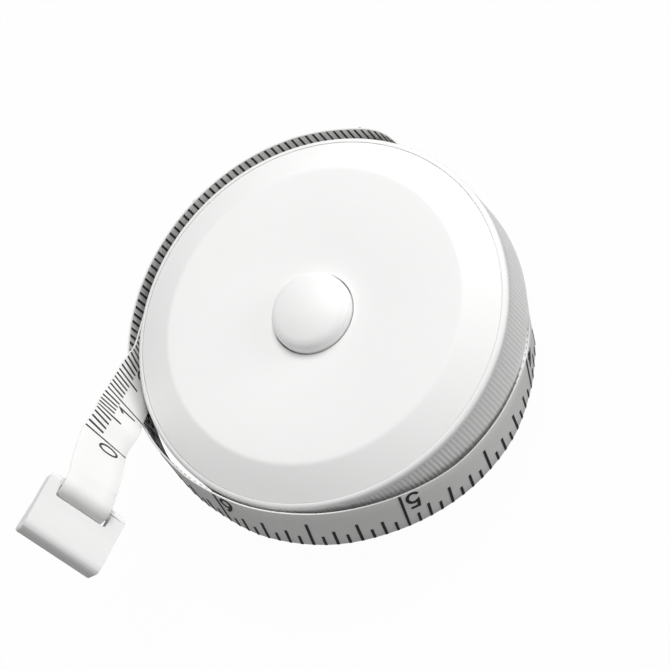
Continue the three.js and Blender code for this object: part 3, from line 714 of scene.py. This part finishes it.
@dataclass
class Tape:
    """The tape, in mm: its stretches outside the reel, its printed scales and the winding inside.

    edge_in and edge_up shape its rounded edges. The print starts print_before ahead of the
    slot, and a point bend_after past it is worked out. end_step is how far the end of the winding
    lies inside the tape that leaves it.
    """

    route: TapeRoute
    width: float = 7.0
    thickness: float = 0.26
    edge: float = 0.1
    edge_in: float = 0.3
    edge_up: float = 0.7
    lift: float = 0.06
    sink: float = 0.05
    stroke_step: float = 0.8
    mitre: float = 0.6
    print_before: float = 1.0
    bend_after: float = 3.0
    inch_zero: float = 252.9
    winding_inner: float = 13.9
    winding_turns: float = 9.5
    winding_steps: int = 60
    end_step: float = 0.4

    def section(self) -> list[Point2]:
        """Outline of the tape's cross-section: place across it and height over its middle."""
        half, top, edge = self.width / 2, self.thickness / 2, self.edge
        flat = [-1.0, -0.5, 0.0, 0.5, 1.0]
        reach = half - edge
        points = [(reach * share, top) for share in flat]
        side, up = half - edge * self.edge_in, top * self.edge_up
        points += [(side, up), (half, 0.0), (side, -up)]
        points += [(-reach * share, -top) for share in flat]
        points += [(-side, -up), (-half, 0.0), (-side, up)]
        return points

    def strip(self, stations: Sequence[Station], name: str) -> bpy.types.Object:
        """A closed strip of tape along stations.

        Args:
            stations: the stations, in mm.
            name: name of the piece.

        Returns:
            The strip, with its length and width in the UV map.
        """
        section = self.section()
        rows, columns = len(stations) - 1, len(section)
        runs = [0.0]
        for a, b in zip(stations, stations[1:]):
            runs.append(runs[-1] + (b.point - a.point).length / self.width)
        bm = bmesh.new()
        bmesh.ops.create_grid(bm, x_segments=rows, y_segments=columns, size=0.5)
        uv = bm.loops.layers.uv.new("tape")
        for face in bm.faces:
            for loop in face.loops:
                row = round((loop.vert.co.x + 0.5) * rows)
                place = section[round((loop.vert.co.y + 0.5) * columns) % columns][0]
                loop[uv].uv = (runs[row], place / self.width + 0.5)
        for vert in bm.verts:
            station = stations[round((vert.co.x + 0.5) * rows)]
            across, out = section[round((vert.co.y + 0.5) * columns) % columns]
            vert.co = station.point + station.across * across + station.normal * out
        close_ends(bm)
        return made_object(bm, name)

    def print_place(self, scale: Scale) -> Callable[[Vector], Vector]:
        """Where a printed point goes on the tape.

        Args:
            scale: the scale that is printed.

        Returns:
            A function from run along the tape, distance from the edge that the marks start
            from and height over the face, to a point in mm.
        """
        def place(at: Vector) -> Vector:
            station = self.route.station(at.x)
            across = (self.width / 2 - at.y) * -scale.value
            out = (self.thickness / 2 + at.z) * scale.value
            return station.point + station.across * across + station.normal * out
        return place

    def stroke(
        self, bm: bmesh.types.BMesh, line: Sequence[Point2], width: float,
        place: Callable[[Vector], Vector],
    ) -> None:
        """Adds a band of ink along a line.

        Args:
            bm: the mesh of the print.
            line: run along the tape and distance from the edge of each point.
            width: width of the band.
            place: where a printed point goes.
        """
        path: list[Vector] = []
        for a, b in zip(map(Vector, line), map(Vector, line[1:])):
            count = math.ceil((b - a).length / self.stroke_step)
            path += [a.lerp(b, i / count) for i in range(count)]
        path.append(Vector(line[-1]))
        ways = [(b - a).normalized() for a, b in zip(path, path[1:])]
        section = ((-0.5, self.lift), (0.5, self.lift), (0.5, -self.sink), (-0.5, -self.sink))
        rows, columns = len(ways), len(section)
        for vert in bmesh.ops.create_grid(bm, x_segments=rows, y_segments=columns, size=0.5)["verts"]:
            row = round((vert.co.x + 0.5) * rows)
            share, height = section[round((vert.co.y + 0.5) * columns) % columns]
            before, after = ways[max(row - 1, 0)], ways[min(row, rows - 1)]
            middle = (before + after).normalized()
            side = Vector((-middle.y, middle.x)) / max(middle.dot(after), self.mitre)
            at = path[row] + side * share * width
            vert.co = place(Vector((at.x, at.y, height)))

    def numeral(self, bm: bmesh.types.BMesh, text: str, line: float, scale: Scale) -> None:
        """Adds the number at a line of a scale.

        Args:
            bm: the mesh of the print.
            text: the number.
            line: run of its line along the tape.
            scale: the scale.
        """
        style, place = STYLES[scale], self.print_place(scale)
        wide, tall = style.digit_size
        for i, digit in enumerate(reversed(text)):
            start = line + style.digit_gap + (wide + DIGIT_SPACE) * i
            for points in DIGITS[digit]:
                path = [(start + (1 - x) * wide, style.digit_top + (1 - y) * tall) for x, y in points]
                self.stroke(bm, path, style.digit_stroke, place)

    def print_on(self, scale: Scale, start: float, end: float, name: str) -> bpy.types.Object:
        """The print of one scale between two runs along the tape.

        Args:
            scale: the scale.
            start: run where the stretch starts.
            end: run where it ends.
            name: name of the piece.

        Returns:
            The thin body of ink.
        """
        place, style = self.print_place(scale), STYLES[scale]
        per_number = style.marks[0][0]
        zero = self.route.zero if scale is Scale.METRIC else self.inch_zero
        bm = bmesh.new()
        for step in range(math.ceil(zero / style.unit)):
            line = zero - style.unit * step
            if not start <= line < end:
                continue
            _, share, width = next(kind for kind in style.marks if step % kind[0] == 0)
            self.stroke(bm, [(line, self.edge), (line, share * self.width - self.edge)], width, place)
            if step % per_number == 0:
                self.numeral(bm, str(step // per_number), line, scale)
        close_ends(bm)
        return made_object(bm, name)

    def winding(self) -> bpy.types.Object:
        """The tape still on the reel, as one spiral strip."""
        end = math.radians(self.route.leave_angle)
        turn = self.winding_turns * 2 * math.pi
        outer = self.route.leave_radius - self.end_step
        steps = round(self.winding_turns * self.winding_steps)
        stations = []
        for i in range(steps + 1):
            share = i / steps
            at = end - turn * (1 - share)
            radius = self.winding_inner + (outer - self.winding_inner) * share
            out = Vector((math.cos(at), math.sin(at), 0.0))
            stations.append(Station(out * radius + UP * self.route.plane, UP, out))
        return self.strip(stations, "tape_winding")

    def build(self, tab: bpy.types.Object) -> None:
        """Builds and dresses the tape and its print.

        Args:
            tab: the pull tab, which ends the tape. It is not used.
        """
        route = self.route
        bend_start = route.station(route.slot_run + self.bend_after).point * MM
        bend_end = route.station(route.exit_end).point * MM
        print_start = route.slot_run - self.print_before
        exit_stations = route.stations(0.0, route.exit_end)
        wrap_stations = route.stations(route.exit_end, route.length) + route.tab.loop_stations()
        out = self.strip(exit_stations, "tape_out_of_case")
        dress(out, COATED_TAPE, Slot.TAPE, None, ["tape_exit"])
        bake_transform(out)
        turn = self.strip(wrap_stations, "tape_loose_turn")
        dress(turn, COATED_TAPE, Slot.TAPE, "wrap", ["tape_wrap", "tape_free_end"])
        prints: dict[str, list[bpy.types.Object]] = {"out": [], "turn": []}
        for scale in Scale:
            label = scale.name.lower()
            ink = self.print_on(scale, print_start, route.exit_end, f"print_out_{label}")
            dress(ink, BLACK_INK, Slot.TAPE, None)
            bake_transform(ink)
            prints["out"].append(ink)
            ink = self.print_on(scale, route.exit_end, route.length, f"print_turn_{label}")
            dress(ink, BLACK_INK, Slot.TAPE, "wrap")
            prints["turn"].append(ink)
        self.declare(exit_stations)
        self.declare(wrap_stations)
        dress(self.winding(), COATED_TAPE, Slot.TAPE, "reel", ["tape_coil", "tape_outer_turn"])

    def declare(
        self, stations: Sequence[Station],
    ) -> None:
        """Works out the path and length of a stretch of tape, in m.

        Args:
            stations: its stations.
        """
        path = [station.point * MM for station in stations]
        length = sum((b - a).length for a, b in zip(path, path[1:]))
        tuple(path[0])


@dataclass
class Case:
    """The two halves of the case and their face discs, in mm.

    Outlines hold a radius and a height, and corners the reach of their rounding too. A rib
    runs from rib_start to rib_end and is at its full depth after its run in.
    """

    route: TapeRoute
    radius: float = 25.75
    lip: float = 25.06
    lip_foot: float = 14.8
    lip_top: float = 15.9
    shoulder: float = 0.65
    shoulder_steps: int = 8
    rib_count: int = 256
    rib_depth: float = 0.07
    rib_steps: int = 6
    rib_start: float = 15.05
    rib_run_in: float = 0.16
    rib_end: float = 8.1
    rib_run_out: float = 0.7
    rib_power: float = 0.8
    rib_band: float = 0.1
    rib_rows: tuple[float, ...] = (0.0, 0.05, 0.1, 0.16, 2.4, 4.8, 6.2, 6.5, 6.75, 6.93)
    steps: int = 240
    slot_width: float = 1.7
    slot_length: float = 14.0
    slot_low: float = 7.1
    slot_high: float = 14.9
    face_seat: tuple[Point2, ...] = ((5.85, 16.2), (5.85, 17.0), (20.5, 17.0))
    front_inside: tuple[Point2, ...] = (
        (25.69, 8.085), (24.0, 8.075), (24.0, 14.25), (20.5, 16.2), (11.9, 16.2), (11.9, 13.9),
        (10.7, 13.9), (10.7, 16.2),
    )
    bowl: tuple[Corner, ...] = (
        (2.6, 1.8, 0.0), (2.6, 1.0, 0.0), (17.2, 1.0, 0.0), (17.2, 0.3, 0.08), (17.7, 0.3, 0.2),
        (18.3, 0.6, 0.25), (25.3, 7.6, 0.14), (25.3, 7.925, 0.06), (23.8, 7.925, 0.0),
        (23.8, 10.2, 0.15), (23.0, 10.2, 0.15), (23.0, 7.775, 0.0), (17.025, 1.8, 0.3),
        (14.9, 1.8, 0.0), (14.9, 5.8, 0.15), (13.7, 5.8, 0.15), (13.7, 1.8, 0.0),
    )
    front_face: tuple[Corner, ...] = (
        (5.62, 17.2, 0.0), (5.62, 18.0, 0.12), (20.5, 18.0, 0.4), (25.035, 15.85, 0.13),
        (25.035, 15.1, 0.0), (20.5, 17.2, 0.0),
    )
    rear_face: tuple[Corner, ...] = (
        (0.0, 0.0, 0.0), (17.0, 0.0, 0.15), (17.0, 0.8, 0.15), (0.0, 0.8, 0.0),
    )

    def front_shell(self) -> bpy.types.Object:
        """The front half: web, shoulder, ribbed wall and inner ring."""
        start, round_over = self.rib_start, self.radius - self.lip
        profile = [*self.face_seat, (self.lip, self.lip_foot), (self.lip, self.lip_top)]
        for i in range(1, self.shoulder_steps + 1):
            turn = math.pi / 2 * i / self.shoulder_steps
            drop = self.shoulder * (1 - math.cos(turn))
            profile.append((self.lip + round_over * math.sin(turn), self.lip_top - drop))
        profile += [(self.radius, start - drop) for drop in self.rib_rows]
        profile += self.front_inside
        bm = spun(profile, self.rib_count * self.rib_steps)
        for vert in bm.verts:
            reach = math.hypot(vert.co.x, vert.co.y)
            if reach < self.radius - self.rib_band or vert.co.z > start:
                continue
            run_out = max(vert.co.z - self.rib_end, 0.0) / self.rib_run_out
            share = min((start - vert.co.z) / self.rib_run_in, run_out, 1.0)
            turn = math.atan2(vert.co.y, vert.co.x)
            wave = (0.5 - 0.5 * math.cos(self.rib_count * turn)) ** self.rib_power
            groove = self.rib_depth * share * wave
            vert.co.x *= 1 - groove / reach
            vert.co.y *= 1 - groove / reach
        return self.slotted(made_object(bm, "case_front_shell"))

    def rear_shell(self) -> bpy.types.Object:
        """The rear half: a bowl with a heel round the disc, a spigot and an inner ring."""
        return self.slotted(made_object(spun(rounded(self.bowl), self.steps), "case_rear_shell"))

    def slotted(self, shell: bpy.types.Object) -> bpy.types.Object:
        """Cuts the opening for the tape through a shell."""
        bm = bmesh.new()
        bmesh.ops.create_cube(bm, size=1.0)
        span = self.slot_high - self.slot_low
        bmesh.ops.scale(bm, vec=(self.slot_length, self.slot_width, span), verts=bm.verts)
        route = self.route
        turn = Matrix.Rotation(math.radians(route.leave_angle + 90.0), 3, "Z")
        bmesh.ops.rotate(bm, cent=ORIGIN, matrix=turn, verts=bm.verts)
        middle = route.leave_point + route.leave_way * route.slot_run
        middle.z = (self.slot_low + self.slot_high) / 2
        bmesh.ops.translate(bm, vec=middle, verts=bm.verts)
        carve(shell, made_object(bm, "slot_tool"))
        return shell

    def front_disc(self) -> bpy.types.Object:
        """The flat face with its sloped rim and the hole for the button."""
        return made_object(spun(rounded(self.front_face), self.steps), "case_front_disc")

    def rear_disc(self) -> bpy.types.Object:
        """The flat disc that the case rests on."""
        return made_object(spun(rounded(self.rear_face), self.steps), "case_rear_disc")

    def build(self) -> None:
        """Builds and dresses the case."""
        dress(self.front_shell(), WHITE_CASE, Slot.CASE, "case", ["front_shell"])
        dress(self.rear_shell(), WHITE_CASE, Slot.CASE, "case", ["rear_shell"])
        dress(self.front_disc(), WHITE_FACE, Slot.CASE, "case", ["front_face_disc"])
        dress(self.rear_disc(), WHITE_FACE, Slot.CASE, "case", ["rear_face_disc"])


@dataclass
class PushButton:
    """The domed button with its collar and hollow stem, in mm.

    The dome is drawn from step dome_first of dome_steps, because the rounded edge takes the
    place of the steps before it.
    """

    radius: float = 5.47
    rim: float = 19.45
    edge_round: float = 1.15
    crown: float = 1.05
    collar_top: float = 15.9
    steps: int = 160
    dome_steps: int = 18
    dome_first: int = 4
    stem: tuple[Corner, ...] = (
        (0.0, 18.7, 0.0), (2.2, 18.7, 0.0), (2.2, 9.4, 0.0), (3.2, 9.4, 0.1), (3.2, 10.0, 0.0),
        (2.75, 10.0, 0.0), (2.75, 11.7, 0.0), (3.3, 11.7, 0.0), (3.3, 15.1, 0.0), (7.1, 15.1, 0.1),
        (7.1, 15.9, 0.1),
    )

    def build(self) -> None:
        """Builds and dresses the button."""
        sphere = (self.radius ** 2 + self.crown ** 2) / (2 * self.crown)
        edge = math.asin(self.radius / sphere)
        wall = ((self.radius, self.collar_top, 0.0), (self.radius, self.rim, self.edge_round))
        body = [*self.stem, *wall]
        for i in range(self.dome_first, self.dome_steps + 1):
            turn = edge * (1 - i / self.dome_steps)
            height = self.rim + self.crown - sphere * (1 - math.cos(turn))
            body.append((sphere * math.sin(turn), height, 0.0))
        piece = made_object(spun(rounded(body), self.steps), "push_button")
        dress(piece, WHITE_BUTTON, Slot.BUTTON, "button", ["button"])


@dataclass
class PullTab:
    """The moulded pull tab with a slot and a bar, in mm in its own directions.

    The pieces that cut its plan and slot are tool_depth deep, and the plan passes the tab's
    end by past_end. soft_angle and shade_angle are in degrees.
    """

    place: TabFrame
    width: float = 11.4
    end: float = 7.8
    back: float = -2.0
    bend: float = 3.4
    crease: float = 3.1
    crease_depth: float = 0.1
    end_round: float = 1.45
    corner: float = 1.2
    far_corner: float = 0.6
    slot_left: float = -3.95
    slot_right: float = 3.62
    slot_end: float = 1.9
    slot_round: float = 0.3
    bend_round: float = 0.6
    back_round: float = 0.35
    bar_steps: int = 16
    tool_depth: float = 9.0
    past_end: float = 1e-3
    soft_edge: float = 0.13
    soft_steps: int = 3
    soft_angle: float = 40.0
    shade_angle: float = 25.0

    def side(self) -> list[Point2]:
        """Side outline: length and height."""
        r = self.place.bar_radius
        corners = [
            (self.end, r, self.end_round), (self.crease, r - self.crease_depth, 0.0), (0.0, r, 0.0),
        ]
        for i in range(1, self.bar_steps):
            turn = math.pi / 2 + math.pi * i / self.bar_steps
            corners.append((r * math.cos(turn), r * math.sin(turn), 0.0))
        corners += [
            (0.0, -r, 0.0), (self.bend, -r, self.bend_round), (self.end, self.back, self.back_round),
        ]
        return rounded(corners, 6)

    def build(self) -> bpy.types.Object:
        """Builds and dresses the tab.

        Returns:
            The tab.
        """
        r, half, far = self.place.bar_radius, self.width / 2, self.end + self.past_end
        stand = Matrix.Rotation(math.pi / 2, 3, "X")
        bm = prism(self.side(), self.width)
        bmesh.ops.rotate(bm, cent=ORIGIN, matrix=stand, verts=bm.verts)
        tab = made_object(bm, "pull_tab", 1.0)
        plan = rounded([
            (far, -half, self.far_corner), (far, half, self.far_corner),
            (-r, half, self.corner), (-r, -half, self.corner),
        ], 8)
        carve(tab, made_object(prism(plan, self.tool_depth), "tab_plan", 1.0), "INTERSECT")
        opening = rounded([
            (self.slot_end, self.slot_left, self.slot_round),
            (self.slot_end, self.slot_right, self.slot_round),
            (0.0, self.slot_right, 0.0), (0.0, self.slot_left, 0.0),
        ])
        slot = made_object(prism(opening, self.tool_depth), "tab_slot", 1.0)
        turns = [math.pi * i / self.bar_steps for i in range(2 * self.bar_steps)]
        ring = [(r * math.cos(turn), r * math.sin(turn)) for turn in turns]
        bm = prism(ring, 2 * self.width)
        bmesh.ops.rotate(bm, cent=ORIGIN, matrix=stand, verts=bm.verts)
        carve(slot, made_object(bm, "tab_bar", 1.0))
        carve(tab, slot)
        basis = Matrix((self.place.along, self.place.across, self.place.face)).transposed().to_4x4()
        tab.data.transform(Matrix.Translation(self.place.bar * MM) @ basis @ Matrix.Scale(MM, 4))
        soft = tab.modifiers.new("soft_edges", "BEVEL")
        soft.width = self.soft_edge * MM
        soft.segments = self.soft_steps
        soft.limit_method = "ANGLE"
        soft.angle_limit = math.radians(self.soft_angle)
        return dress(tab, WHITE_TAB, Slot.TAB, "tab", ["end_tab"], self.shade_angle)


@dataclass
class Works:
    """The pieces inside the case, which keep their CAD shapes.

    Lengths are in m, and crease is in degrees. press is the button's travel. hook_start and
    hook_end are two points along the spiral spring.
    """

    finishes: dict[str, MouldedFinish] = field(default_factory=lambda: {
        "reel": NATURAL_PLASTIC, "spring_arbor": NATURAL_PLASTIC, "brake_plate": NATURAL_PLASTIC,
        "brake_ring": DARK_RUBBER,
    })
    press: float = 0.0013
    weld: float = 1e-7
    crease: float = 60.0
    hook_start: tuple[float, float, float] = (-0.006, 0.0, 0.0)
    hook_end: tuple[float, float, float] = (-0.0122, 0.0, 0.0)

    def spring_copy(self, node: str, name: str, body: str | None) -> bpy.types.Object:
        """Puts a copy in place of a spring's node.

        Args:
            node: the CAD node.
            name: name of the copy.
            body: the body it rides on, or None to leave it unattached.

        Returns:
            The copy.
        """
        bm = bmesh.new()
        bm.from_mesh(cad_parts[node].data)
        bmesh.ops.remove_doubles(bm, verts=bm.verts, dist=self.weld)
        copy = made_object(bm, name, 1.0)
        return dress(copy, SPRING_STEEL, Slot.SPRING, body, [node], self.crease)

    def springs(self) -> None:
        """Builds copies of the coil spring and of the spiral spring."""
        coil = self.spring_copy("button_spring", "return_spring", "case")
        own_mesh(coil)
        spiral = self.spring_copy("mainspring", "winding_spring", None)
        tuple(self.hook_start)
        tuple(self.hook_end)
        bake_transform(spiral)

    def build(self) -> None:
        """Builds the springs and gives each other piece its finish."""
        self.springs()
        for name, finish in self.finishes.items():
            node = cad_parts[name]
            node.data.materials.clear()
            node.data.materials.append(finish.material())
            LOG.info("%s: finish %s", name, finish.name)


@dataclass(frozen=True)
class Lamp:
    """A round soft lamp: power in W, direction in degrees, distance and size in m."""

    name: str
    power: float
    azimuth: float
    height: float
    distance: float = 0.9
    size: float = 0.5

    def hang(self, aim: Vector) -> None:
        """Hangs the lamp over the point it shines at.

        Args:
            aim: the point.
        """
        data = bpy.data.lights.new(self.name, "AREA")
        data.shape = "DISK"
        data.size = self.size
        data.energy = self.power
        lamp = bpy.data.objects.new(self.name, data)
        lift = math.radians(self.height)
        way = polar(math.cos(lift), self.azimuth, math.sin(lift))
        turn = way.to_track_quat("Z", "Y").to_matrix().to_4x4()
        lamp.matrix_world = Matrix.Translation(aim + way * self.distance) @ turn
        bpy.context.scene.collection.objects.link(lamp)


@dataclass
class Studio:
    """Camera, floor and light, in m, degrees and pixels.

    What the camera sees of the floor is plain white for a share of floor_share, and the lit
    floor with its shadow for the rest.
    """

    image: int = 670
    focal: float = 3850.0
    distance: float = 0.5
    nearest: float = 0.01
    aim: Vector = field(default_factory=lambda: Vector((0.0, 0.0, 0.0105)))
    view: Vector = field(default_factory=lambda: Vector((0.0, -0.527, 0.85)))
    roll: float = 46.0
    floor_half: float = 3.0
    floor_tone: float = 0.2
    floor_rough: float = 0.9
    floor_specular: float = 0.1
    floor_white: float = 1.08
    floor_share: float = 0.9
    sky: float = 0.43
    lamps: tuple[Lamp, ...] = (Lamp("key", 5.3, 30.0, 55.0), Lamp("fill", 2.6, -28.0, 11.0))

    def camera(self) -> None:
        """Sets the camera at the photograph's viewing angle."""
        data = bpy.data.cameras.new("camera")
        data.sensor_fit = "HORIZONTAL"
        data.lens = data.sensor_width * self.focal / self.image
        data.clip_start = self.nearest
        eye = bpy.data.objects.new("camera", data)
        back = self.view.normalized()
        level = Vector((1.0, 0.0, 0.0))
        turn = Quaternion(back, math.radians(-self.roll))
        right = turn @ level
        up = back.cross(right)
        basis = Matrix((right, up, back)).transposed().to_4x4()
        eye.matrix_world = Matrix.Translation(self.aim + back * self.distance) @ basis
        bpy.context.scene.collection.objects.link(eye)
        bpy.context.scene.camera = eye

    def floor(self) -> None:
        """Lays the pale floor, white to the camera with a soft shadow, and clear from below."""
        bm = bmesh.new()
        bmesh.ops.create_grid(bm, x_segments=8, y_segments=8, size=self.floor_half)
        ground = made_object(bm, "floor", 1.0)
        made = bpy.data.materials.new("pale_floor")
        made.use_nodes = True
        tree = made.node_tree
        shader = tree.nodes["Principled BSDF"]
        shader.inputs["Base Color"].default_value = (*[self.floor_tone] * 3, 1.0)
        shader.inputs["Roughness"].default_value = self.floor_rough
        shader.inputs["Specular IOR Level"].default_value = self.floor_specular
        glow = add_node(tree, "ShaderNodeEmission", Strength=self.floor_white)
        rays = tree.nodes.new("ShaderNodeLightPath")
        share = add_node(tree, "ShaderNodeMath", operation="MULTIPLY")
        share.inputs[1].default_value = self.floor_share
        mix = tree.nodes.new("ShaderNodeMixShader")
        tree.links.new(rays.outputs["Is Camera Ray"], share.inputs[0])
        tree.links.new(share.outputs[0], mix.inputs[0])
        tree.links.new(shader.outputs[0], mix.inputs[1])
        tree.links.new(glow.outputs[0], mix.inputs[2])
        clear = tree.nodes.new("ShaderNodeBsdfTransparent")
        side = tree.nodes.new("ShaderNodeNewGeometry")
        under = tree.nodes.new("ShaderNodeMixShader")
        tree.links.new(side.outputs["Backfacing"], under.inputs[0])
        tree.links.new(mix.outputs[0], under.inputs[1])
        tree.links.new(clear.outputs[0], under.inputs[2])
        tree.links.new(under.outputs[0], tree.nodes["Material Output"].inputs["Surface"])
        ground.data.materials.append(made)

    def light(self) -> None:
        """Sets the sky, white to the camera and in reflections, and the lamps."""
        world = bpy.data.worlds.new("studio")
        world.use_nodes = True
        tree = world.node_tree
        sky = tree.nodes["Background"]
        sky.inputs["Color"].default_value = (1.0, 1.0, 1.0, 1.0)
        rays = tree.nodes.new("ShaderNodeLightPath")
        seen = add_node(tree, "ShaderNodeMath", operation="MAXIMUM")
        tree.links.new(rays.outputs["Is Camera Ray"], seen.inputs[0])
        tree.links.new(rays.outputs["Is Glossy Ray"], seen.inputs[1])
        level = add_node(tree, "ShaderNodeMapRange", To_Min=self.sky, To_Max=1.0)
        tree.links.new(seen.outputs[0], level.inputs["Value"])
        tree.links.new(level.outputs["Result"], sky.inputs["Strength"])
        bpy.context.scene.world = world
        for lamp in self.lamps:
            lamp.hang(self.aim)

    def build(self) -> None:
        """Sets up the studio."""
        self.camera()
        self.floor()
        self.light()
        bpy.context.scene.view_settings.view_transform = "Standard"


def main() -> None:
    """Builds the studio and the tape measure."""
    logging.basicConfig(level=logging.INFO, format="%(name)s %(message)s")
    Studio().build()
    place = TabFrame()
    route = TapeRoute(place)
    past_zero = route.length - route.zero
    LOG.info("tape outside the reel: %.1f mm, %.2f mm of it past the zero line", route.length, past_zero)
    tab = PullTab(place).build()
    Tape(route).build(tab)
    Case(route).build()
    PushButton().build()
    Works().build()


if __name__ == "__main__":
    main()
